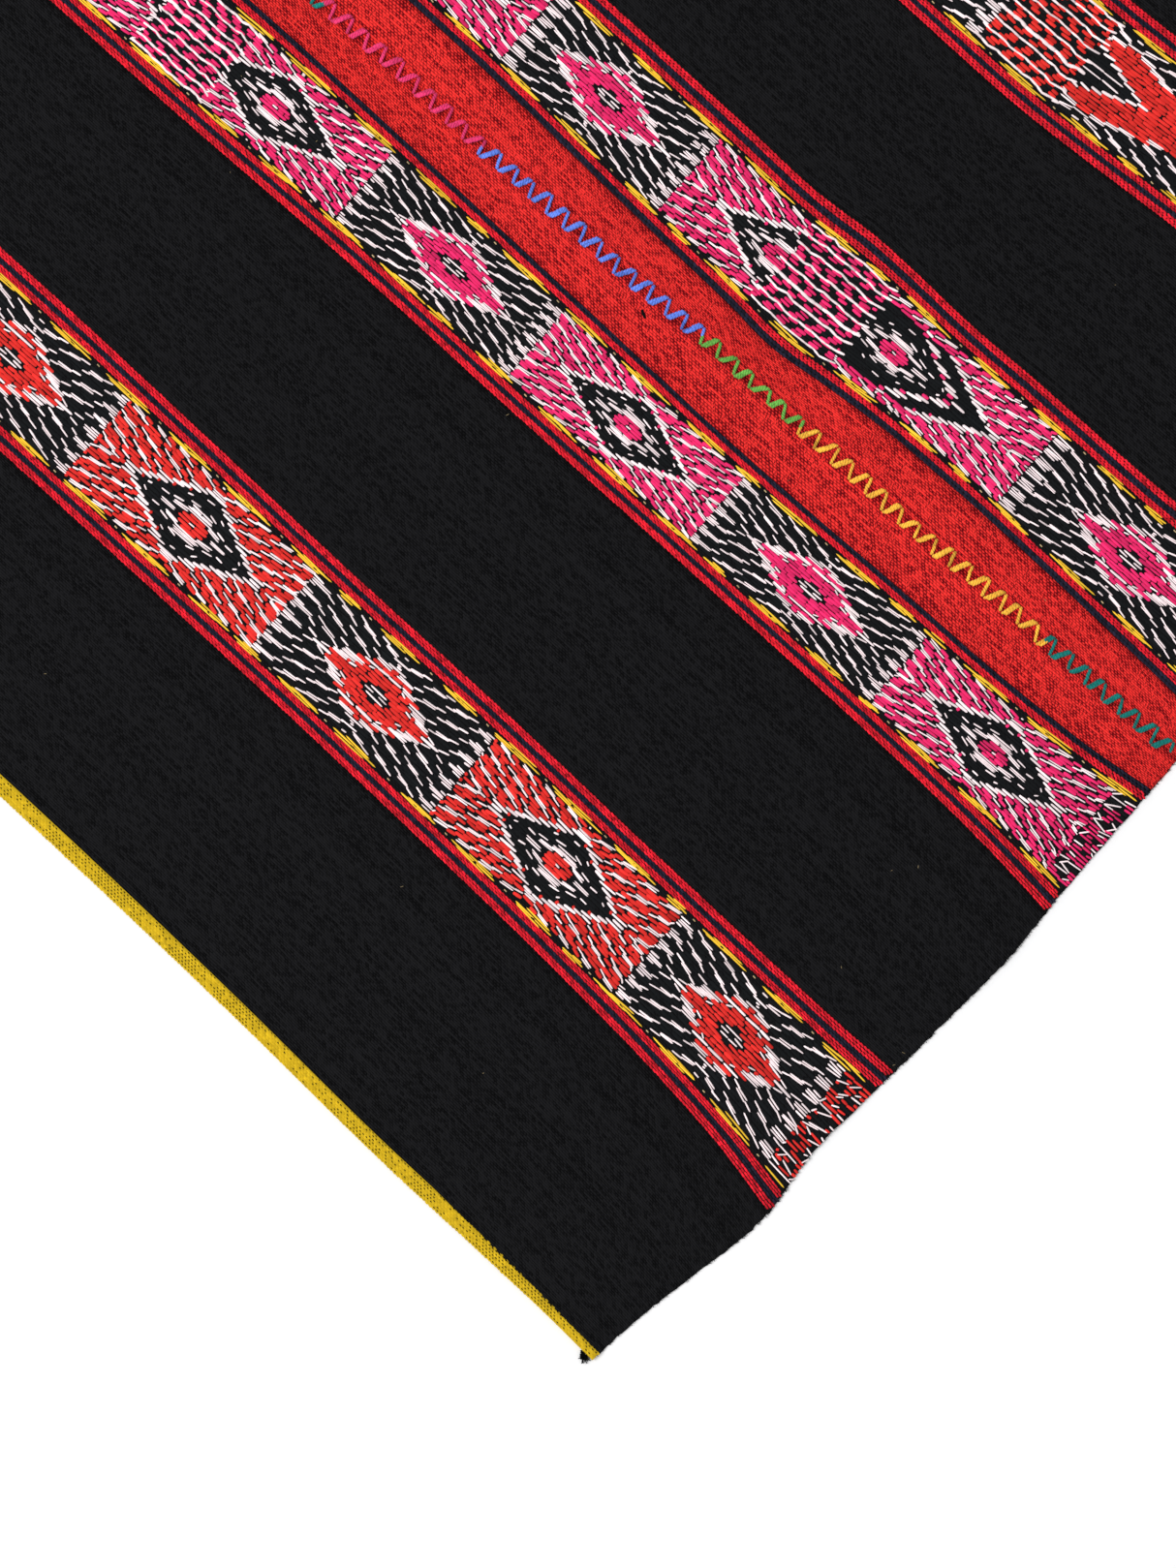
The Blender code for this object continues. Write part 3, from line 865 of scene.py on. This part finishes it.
def patternStrands(band, strands):
    panel, spotOf = band["panel"], bandSpot(band)
    innerLanes, outerLanes = lanes(band)
    low, high = innerLanes[-1] + 0.3, outerLanes[-1] - 0.3
    pitch = (high - low) / pattern["columns"]
    for block in band["blocks"]:
        found = cutStrands(chartBlock(block))
        double = found[:, 5] > 1.5  # bold strokes are two strands, one a little further on
        twin = found[double].copy()
        found[double, 0] -= pattern["apart"]
        twin[:, 0] += pattern["apart"]
        stagger = dice.uniform(0.2, 1.0, len(twin)) * np.where(twin[:, 4] > 0, 1, -1)
        found[double, 1] -= stagger / 2
        twin[:, 2] += stagger / 2
        found = np.concatenate([found, twin])
        count = len(found)
        column = found[:, 0] + 0.5 + dice.normal(0, 0.05, count)
        start = block["start"] + (found[:, 1] + dice.normal(0, 0.25, count)) * pattern["row"]
        stop = block["start"] + (found[:, 2] + dice.normal(0, 0.25, count)) * pattern["row"]
        kind, lean, bold = found[:, 3], found[:, 4], found[:, 5]
        white = kind == yarnCodes["white"]
        overlap = np.where(white, pattern["overlap"]["white"], pattern["overlap"]["dye"])
        start -= overlap
        stop += overlap
        middle = (start + stop) / 2
        across = bandPlace(band, low + column * pitch, middle)
        near, far = endsAt(panel, across)
        start, stop = np.maximum(start, near - 0.3), np.minimum(stop, far + 0.3)
        kept = stop - start > 1.2
        sway = lean * np.where(white, pattern["sway"]["white"], pattern["sway"]["dye"])
        sway = sway + dice.normal(0, 0.08, count)
        share = np.interp(bold, (0, 0.5, 1, 2), pattern["boldness"])
        first = bandPlace(band, low + (column - sway) * pitch, start) * panel["side"]
        last = bandPlace(band, low + (column + sway) * pitch, stop) * panel["side"]
        starts, stops = pairs(first, start), pairs(last, stop)
        for name, code in yarnCodes.items():
            chosen = kept & (kind == code)
            number = int(chosen.sum())
            yarn = band["dye"] if name == "dye" else name
            wide = pattern["strand"] * share[chosen] * pitch / pattern["pitch"]
            wide = wide * pattern["fullness"][name] * (1 + 0.1 * dice.standard_normal(number))
            wide = np.clip(wide, pattern["slimmest"], pattern["fattest"])
            stand = pattern["height"] * (0.65 if name == "black" else 1.0)
            lift = -0.02 if name == "white" else -0.06
            strands.add(starts[chosen], stops[chosen], wide, stand, shaded(yarn, number), lift,
                        spotOf, "low" if name == "black" else "full")
        if block["kind"] == "net":
            netStrands(band, block, strands, low, pitch, spotOf)


def netStrands(band, block, strands, low, pitch, spotOf):
    # long white strands that waver side by side through the net's short coloured ones
    side = band["panel"]["side"]
    reach = block["stop"] - block["start"]
    for number, column in enumerate(net["lines"]):
        cuts = np.linspace(-0.06, 1.06, 13) + dice.normal(0, 0.01, 13)
        sway = np.interp(cuts, net["share"], net["sway"]) + dice.normal(0, net["jitter"], 13)
        along = block["start"] + cuts * reach
        x = bandPlace(band, low + (column + 0.5) * pitch + sway, along) * side
        points = pairs(x, along)
        run = points[1:] - points[:-1]
        width = dice.uniform(1.1, 1.4) * (1.4 if number == 3 else 1.0)
        strands.add(points[:-1] - run * 0.1, points[1:] + run * 0.1, width, 0.7,
                    shaded("white", len(run)), 0.05, spotOf)


rope = {
    "columns": {"navy": 2, "rope": 3},  # of stitches across a stripe
    "slant": 0.3,  # of a column's width
    "wide": 1.04,  # of a column's width
    "high": 0.7,
    "spread": 0.24,  # of the shade from one stitch to the next
}


def ropeStitches(band, strands):
    # the border's plain stripes: columns of short slanting stitches
    panel, spotOf = band["panel"], bandSpot(band)
    innerLanes, outerLanes = lanes(band)
    stripes = [(innerLanes[1], innerLanes[2], "navy"), (innerLanes[2], innerLanes[3], "rope"),
               (outerLanes[1], outerLanes[0], "rope"), (outerLanes[2], outerLanes[1], "navy"),
               (outerLanes[3], outerLanes[2], "rope")]
    if band["innerRope"]:
        stripes.append((innerLanes[0], innerLanes[1], "rope"))
    for low, high, yarn in stripes:
        count = rope["columns"][yarn]
        width = (high - low) / count
        for k in range(count):
            along = np.arange(0, cloth["length"], cloth["bump"]) + cloth["bump"] * (k % 3) / 3
            along = along + dice.normal(0, 0.1, len(along))
            across = bandPlace(band, low + (k + 0.5) * width, along + 1.2)
            near, far = endsAt(panel, across)
            kept = (along > near - 0.4) & (along < far - 2.0)
            along, across = along[kept], across[kept]
            slant = rope["slant"] * width
            x = across * panel["side"] + dice.normal(0, 0.06, len(along))
            start = pairs(x - slant, along - 0.25)
            stop = pairs(x + slant, along + cloth["bump"] + 0.15)
            strands.add(start, stop, width * rope["wide"], rope["high"],
                        shaded(yarn, len(along), rope["spread"]), -0.08, spotOf, "low")


dash = {
    "long": 26.5,  # of a whole yellow dash, mm
    "shortLong": 14.5,
    "repeat": 38.5,  # from the start of a whole dash to the next
    "shortRepeat": 20.5,
    "strand": 0.92,
    "high": 0.6,
}
# Where the dashes start on each side of a band, and which of them are short.
dashRuns = {
    "pinkBandLeft": {"inner": (2.3, (3, 4, 7, 12)), "outer": (4.6, (3, 6, 11))},
    "redBandLeft": {"inner": (11.5, (3, 9)), "outer": (-6.0, (4, 10))},
    "pinkBandRight": {"inner": (7.0, (4, 9)), "outer": (3.0, (2, 7, 13))},
    "redBandRight": {"inner": (5.0, (5, 12)), "outer": (9.0, (3, 8))},
}


def yellowDashes(band, strands):
    panel, spotOf = band["panel"], bandSpot(band)
    innerLanes, outerLanes = lanes(band)

    def single(lane, along, half, high, yarn, lift):
        x = float(bandPlace(band, lane, along)) * panel["side"]
        strands.add([(x, along - half)], [(x + 0.2, along + half)], 0.7, high,
                    shaded(yarn, 1), lift, spotOf)

    for edge, laneEnds in (("inner", innerLanes[3:5]), ("outer", outerLanes[3:5])):
        lane = sum(laneEnds) / 2
        along, shorts = dashRuns[band["name"]][edge]
        for number in range(40):
            short = number in shorts
            reach = dash["shortLong" if short else "long"] * dice.uniform(0.9, 1.12)
            if along + reach > cloth["length"] - 12:
                break
            for shift, first, last in ((-0.85, 0.12, 0.72), (0.0, 0.0, 1.0), (0.85, 0.3, 0.9)):
                cuts = np.linspace(first, last, 3 if last - first > 0.8 else 2)
                cuts = cuts + dice.normal(0, 0.04, len(cuts))
                ends = np.maximum(along + cuts * reach, 1.0)
                x = bandPlace(band, lane + shift + dice.normal(0, 0.22, len(cuts)), ends)
                points = pairs(x * panel["side"], ends)
                points = points[ends > setBack(panel["near"], x) - 0.3]
                if len(points) < 2:
                    continue
                run = (points[1:] - points[:-1]) * 0.04
                strands.add(points[:-1] - run, points[1:] + run, dash["strand"], dash["high"],
                            shaded("yellow", len(run), 0.1), -0.05, spotOf)
            step = dash["shortRepeat" if short else "repeat"] * dice.uniform(0.97, 1.03)
            if not short:
                # a pale stitch between two dashes, and a dark one in the dash
                single(lane, along + (reach + step) / 2, 0.9, 0.4, "cream", -0.05)
                middle = along + reach * dice.uniform(0.4, 0.6)
                single(lane + 0.35, middle, 1.2, 0.62, "coal", 0.0)
            along += step


for band in bands:
    strands = Strands()
    patternStrands(band, strands)
    strands.piece(band["name"] + "Floats", floatFinish, "pattern_wool")
    strands = Strands()
    ropeStitches(band, strands)
    yellowDashes(band, strands)
    strands.piece(band["name"] + "Borders", ropeFinish, "red_wool")
    print(band["name"], "woven")


# Woven edge tubes


def tubeTop(panel):
    # height of the tube's face, which bends down at both of its edges
    def surface(x, along):
        outside = stripeAt(panel, "outside", shareAt(panel, along, np.abs(x)))
        inward = outside - np.abs(x)
        wide = tubeWide(along)
        fold = np.minimum(inward / tube["foldOut"], (wide - inward) / 1.0)
        fold = np.clip(fold, 0, 1)
        raised = riseAt(x, along)
        arch = 0.5 + 0.5 * np.sqrt(fold * (2 - fold))
        return raised + cloth["tubeHeight"] * arch - tube["sunk"]
    return surface


def edgeTube(panel):
    # the tube's wall, folded round the selvedge, and the stitches on it
    high, wall = cloth["tubeHeight"], cloth["tubeWall"]
    count = 220
    shares = np.linspace(0, 1, count)[:, None]
    outside = stripeAt(panel, "outside", shares)
    wide = tubeWide(shares * cloth["length"])
    depth = np.minimum(cloth["selvedgeDepth"], wide - 1.0)
    low, top = tube["under"], high - tube["sunk"]
    middle = (low + top) / 2
    edge = 0 * wide
    out, bend = edge + tube["foldOut"], wide - tube["foldIn"]
    inward = [edge, edge + 0.4, out, bend, wide, wide, wide - depth,
              wide - depth, wide, wide, bend, out, edge + 0.4]
    height = [middle, top * 0.82, top, top, top - 0.3, top - wall, top - wall,
              low + wall, low + wall, low + 0.2, low, low, middle * 0.45]
    across = outside - np.concatenate(inward, 1)
    along = alongAt(panel, shares, np.broadcast_to(outside - wide / 2, across.shape))
    x = panel["side"] * across
    points = toWorld(x, along, np.array(height)[None] + riseAt(x, along)).reshape(-1, 3)
    faces, capTris = pipeFaces(count, len(height))
    if panel["side"] > 0:
        faces, capTris = faces[:, ::-1], capTris[:, ::-1]
    name = panel["name"].lower()
    acrossShare, alongShare = np.broadcast_arrays((outside - across) / tube["map"], shares)
    spots = tiledFaces([faces, capTris], acrossShare.ravel(), alongShare.ravel(), 6)
    body = meshPiece(name + "TubeBody", points, [faces, capTris], tubeFinish,
                     bakeMap=spots, yarn=np.tile(dyes["gold"], (len(points), 1)))
    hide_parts(panel["tube"])

    def spotOf(x, along):
        share = along / cloth["length"]
        return (stripeAt(panel, "outside", share) - np.abs(x)) / tube["map"], share

    strands = Strands()
    surface = tubeTop(panel)
    along = np.arange(0.5, cloth["length"] - 1.5, tube["stitch"])
    columns = int(cloth["tubeWidth"] / tube["pitch"])
    for column in range(columns):
        inward = column * tube["pitch"] - 0.2
        places = along + tube["stitch"] * (column % 2) / 2 + dice.normal(0, 0.08, len(along))
        across = stripeAt(panel, "outside", places / cloth["length"]) - inward
        wide = tubeWide(places)
        tooth = 0.9 * (np.abs(places / tube["tooth"] % 1 - 0.5) > 0.2)
        near, far = endsAt(panel, across)
        kept = (inward < wide - 0.9 + tooth) & (places > near - 0.4) & (places < far - 2)
        x = (across * panel["side"] + dice.normal(0, 0.06, len(along)))[kept]
        places = places[kept]
        start = pairs(x - tube["slant"], places - 0.15)
        stop = pairs(x + tube["slant"], places + tube["stitch"] + 0.1)
        strands.add(start, stop, tube["stitchWide"], tube["stitchHigh"],
                    shaded("gold", len(x), 0.09), 0.0, spotOf, "low", surface)
        # dark yarn shows here and there between the columns
        dense = 0.62 + 0.3 * np.sin(places / 9 + np.sin(places / 23) * 2)
        dark = dice.random(len(places)) < dense
        spot = x[dark] - 0.5 * tube["pitch"] * panel["side"]
        middle = places[dark] + tube["stitch"] * 0.5
        half = tube["dotLong"] / 2
        strands.add(pairs(spot - 0.15, middle - half), pairs(spot + 0.15, middle + half),
                    tube["dotWide"], tube["dotHigh"], shaded("coal", len(spot)), 0.0, spotOf,
                    "low", surface)
    strands.piece(name + "TubeStitches", tubeFinish, "yellow_wool")


for panel in (leftPanel, rightPanel):
    edgeTube(panel)
print("edge tubes woven")

# Seam: zigzag sewing over the join, in lengths of several colours

seam = {
    "half": 5.3,  # along the seam, from a left peak to the next right one
    "left": 4.4, "right": 4.4,  # how far the peaks reach
    "narrow": (241, 304, 0.84),  # a length where they reach less far, and its share
    "strand": 1.6,  # thickness of the yarn
    "fan": 0.85,  # from one strand to the next at a peak, in strands
    "leg": 0.54,  # how far a stitch runs from its peak towards the next one
    "bundle": 0.7,  # share of the peaks with a third strand in the thick leg
    "sides": 7,  # of a strand's section
    "map": 14,  # width of the seam that fills its map
    "yarns": ((0, "teal"), (86, "orange"), (241, "green"), (304, "blue"), (442, "rose"),
              (543, "teal"), (630, "orange"), (765, "green"), (830, "blue")),  # from this place on
}


def smoothLine(points, steps):
    # a smooth curve through points, with so many steps between two of them
    points = np.asarray(points, float)
    ahead = np.concatenate([points[:1], points, points[-1:]])
    t = np.linspace(0, 1, steps, endpoint=False)[:, None, None]
    a, b, c, d = ahead[:-3], ahead[1:-2], ahead[2:-1], ahead[3:]
    curve = 0.5 * (2 * b + (c - a) * t + (2 * a - 5 * b + 4 * c - d) * t ** 2
                   + (3 * b - a - 3 * c + d) * t ** 3)
    return np.concatenate([curve.transpose(1, 0, 2).reshape(-1, points.shape[1]), points[-1:]])


def sweptYarn(path, size, turns=1.8):
    # the points and faces of a two-ply yarn along a path: an oval section that turns with the twist,
    # and a painted shade for each point, darker in the grooves between the plies and lighter on
    # their crowns
    sides = seam["sides"]
    run = np.gradient(path, axis=0)
    run /= np.linalg.norm(run, axis=1, keepdims=True)
    sideways = np.cross(run, (0, 0, 1))
    sideways /= np.linalg.norm(sideways, axis=1, keepdims=True)
    upwards = np.cross(sideways, run)
    angle = 2 * np.pi * np.arange(sides) / sides
    twist = np.linspace(0, turns * 2 * np.pi, len(path))[:, None]
    ply = np.cos(2 * (angle[None] - twist))
    radius = size / 2 * (1 + 0.2 * ply)
    radius[[0, -1]] *= 0.5
    points = (path[:, None] + sideways[:, None] * (radius * np.cos(angle))[..., None]
              + upwards[:, None] * (radius * np.sin(angle))[..., None])
    faces, caps = pipeFaces(len(path), sides)
    return points.reshape(-1, 3), faces, caps, (0.78 + 0.3 * ply).ravel()


def seamYarn():
    points, quads, tris, yarn, count = [], [], [], [], 0
    places = np.arange(4.0, cloth["length"] - 3, seam["half"])
    places = places + dice.normal(0, 0.4, len(places))
    reach = np.where(np.arange(len(places)) % 2, seam["right"], -seam["left"])
    narrowFrom, narrowTo, narrowShare = seam["narrow"]
    narrow = (places > narrowFrom) & (places < narrowTo)
    reach = reach * np.where(narrow, narrowShare, 1.0)
    peaks = np.stack([reach * dice.uniform(0.85, 1.08, len(places)), places], -1)
    peaks[:, 0] += 0.7 * np.sin(places / 37) + 0.4 * np.sin(places / 15)
    for number in range(1, len(peaks) - 1):
        peak, before, after = peaks[number], peaks[number - 1], peaks[number + 1]
        name = [name for place, name in seam["yarns"] if place <= peak[1] + 0.1][-1]
        towards = np.array([np.sign(peak[0]), 0.0])
        feet = [peak + (other - peak) * seam["leg"] + dice.normal(0, 0.15, 2)
                for other in (before, after)]
        # one strand on the thin leg of the zigzag, and a bundle that fans out on the other leg
        turn = 1 if number % 2 else -1
        thin, thick = feet[::turn]
        legs = [(-0.85, 0.0, thin), (0.1, -0.45, thick), (1.0, 0.45, thick)]
        if dice.random() < seam["bundle"]:
            legs.append((dice.uniform(0.3, 0.7), dice.uniform(-0.3, 0.3), thick))
        for layer, (tipShift, footShift, foot) in enumerate(legs):
            step = np.array([0.0, turn * seam["fan"] * seam["strand"]])
            aside = step * (tipShift + dice.normal(0, 0.1))
            foot = foot + step * footShift
            tip = peak + aside - towards * (0.5 * abs(tipShift) + dice.uniform(0, 0.5))
            line = smoothLine([foot, foot * 0.66 + tip * 0.34,
                               foot * 0.3 + tip * 0.7 + aside * 0.15, tip], 4)
            t = np.linspace(0, 1, len(line))
            rise = 0.15 + 0.45 * np.sin(np.pi * t) ** 0.5 + 0.12 * layer * (1 - t)
            centre = topAt(line[:, 0], line[:, 1]) + rise * seam["strand"]
            path = np.concatenate([line, centre[:, None]], 1)
            mesh, faces, caps, paintedPlyShade = sweptYarn(path, seam["strand"] * dice.uniform(0.9, 1.08))
            points.append(toWorld(mesh[:, 0], mesh[:, 1], mesh[:, 2]))
            quads.append(faces + count)
            tris.append(caps + count)
            # the strand's colour carries the painted shade and highlight of its plies
            colour = shaded(name, 1, 0.14) * paintedPlyShade[:, None]
            colour[:, 3] = 1
            yarn.append(colour)
            count += len(mesh)
    points, faceSets = np.concatenate(points), [np.concatenate(quads), np.concatenate(tris)]
    across = (points[:, 0] - seamX) / mm / seam["map"] + 0.5
    along = (points[:, 1] - nearY) / mm / cloth["length"]
    meshPiece("seamYarn", points, faceSets, seamFinish,
              bakeMap=tiledFaces(faceSets, across, along, 12), yarn=np.concatenate(yarn))


seamYarn()
print("seam sewn")

# Loose ends: the tuft at the tube's near end, fuzz of the end edges and specks of lint


loose = {
    "tuft": 110,  # fibres at the knot
    "fuzz": 520,  # fibres at each end edge of a panel
    "lint": 46,  # specks that lie about
}


def onCloth(x, along):
    return np.clip(np.abs(x) / 400, 0, 1), np.clip(along / cloth["length"], 0, 1)


def layOn(height):
    return lambda x, along: riseAt(x, along) + height


def tuft():
    strands = Strands()
    low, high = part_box("edge_knot")
    middle = np.array([(low.x + high.x) / 2 - seamX, (low.y + high.y) / 2 - nearY]) / mm
    count = loose["tuft"]
    angle = dice.uniform(0, 2 * np.pi, count)
    reach = 1.1 + 2.4 * dice.random(count) ** 3
    spread = pairs(np.cos(angle) * 0.8, np.sin(angle))
    starts = middle + (0.9, 0.0) + spread * (0.9, 1.6) * dice.uniform(0.0, 1.0, (count, 1))
    turned = angle + dice.normal(0, 1.1, count)
    stops = starts + pairs(np.cos(turned), np.sin(turned)) * reach[:, None]
    strands.add(starts, stops, dice.uniform(0.35, 0.6, count), dice.uniform(0.3, 2.2, count),
                shaded("coal", count), 0.1, onCloth, "full", layOn(0.15))
    piece = strands.piece("tuft", fuzzFinish, "knot_yarn")
    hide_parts("edge_knot")


def fuzz():
    strands = Strands()
    for panel in (leftPanel, rightPanel):
        outer = float(stripeAt(panel, "outside", 0)) - 1
        for end, sign in enumerate((-1, 1)):
            count = loose["fuzz"]
            across = dice.uniform(0, outer, count)
            edge = endsAt(panel, across)[end]
            reach = (0.2 + 0.9 * dice.random(count) ** 2) * sign
            x = across * panel["side"]
            start = pairs(x, edge - sign * 1.0)
            stop = pairs(x + dice.normal(0, 0.8, count), edge + reach)
            strands.add(start, stop, dice.uniform(0.18, 0.32, count), dice.uniform(0.2, 0.4, count),
                        shaded("black", count), 0.0, onCloth, "low",
                        layOn(0.6 + 0.5 * dice.random()))
    lint = np.array([(-198.2, 6.4), (-190.9, 6.9), (-120.0, 60.0), (-330.0, 150.0)])
    count = loose["lint"]
    lint = np.concatenate([lint, pairs(dice.uniform(-370, 370, count),
                                       dice.uniform(20, 880, count))])
    turn = dice.uniform(0, np.pi, len(lint))
    half = pairs(np.cos(turn), np.sin(turn)) * dice.uniform(0.3, 1.0, (len(lint), 1))
    strands.add(lint - half, lint + half, 0.3, 0.2, shaded("cream", len(lint)) * (0.5, 0.5, 0.5, 1),
                0.0, onCloth, "low")
    # a dark slub in the red centre
    strands.add([(-10.6, 329.0)], [(-8.4, 333.4)], 1.5, 0.5, shaded("coal", 1), 0.0, onCloth)
    strands.piece("fuzzAndLint", fuzzFinish, "black_wool")


tuft()
fuzz()
print("loose ends laid")

# Camera, light and floor

view = {
    "across": -194.2, "along": 203.5,  # the point of the cloth at the picture's middle, mm
    "turn": -48.6,  # the warp's lean in the picture, degrees
    "high": 1.7583,  # above the cloth, metres
    "lens": 85.0, "sensor": 36.0,
}
lens = bpy.data.cameras.new("camera")
lens.lens = view["lens"]
lens.sensor_width = view["sensor"]
camera = bpy.data.objects.new("camera", lens)
camera.location = (seamX + view["across"] * mm, nearY + view["along"] * mm, view["high"])
camera.rotation_euler = (0, 0, math.radians(view["turn"]))
scene.collection.objects.link(camera)
scene.camera = camera

light = {"world": 0.68, "key": 95.0, "keySize": 2.0, "keyPlace": (-1.5, 1.2, 3.2)}
world = bpy.data.worlds.new("studio")
world.use_nodes = True
backdrop = world.node_tree.nodes["Background"]
backdrop.inputs["Color"].default_value = (1.0, 1.0, 1.0, 1.0)
backdrop.inputs["Strength"].default_value = light["world"]
scene.world = world
lamp = bpy.data.lights.new("key", "AREA")
lamp.energy = light["key"]
lamp.size = light["keySize"]
key = bpy.data.objects.new("key", lamp)
key.location = light["keyPlace"]
key.rotation_euler = (-key.location).to_track_quat("-Z", "Y").to_euler()
scene.collection.objects.link(key)


def paleFloor():
    bpy.ops.mesh.primitive_plane_add(size=8.0, location=(0, 0, -0.2 * mm))
    floor = bpy.context.object
    floor.name = "floor"
    finish = Finish("paleFloor", 0.9)
    grain = finish.noise(finish.stretched((4, 4, 4)), 1.0)
    finish.feed(finish.shader.inputs["Base Color"],
                finish.mix((0.86, 0.86, 0.87, 1), (0.9, 0.9, 0.9, 1), grain))
    floor.data.materials.append(finish.material)


paleFloor()
print("stage set")
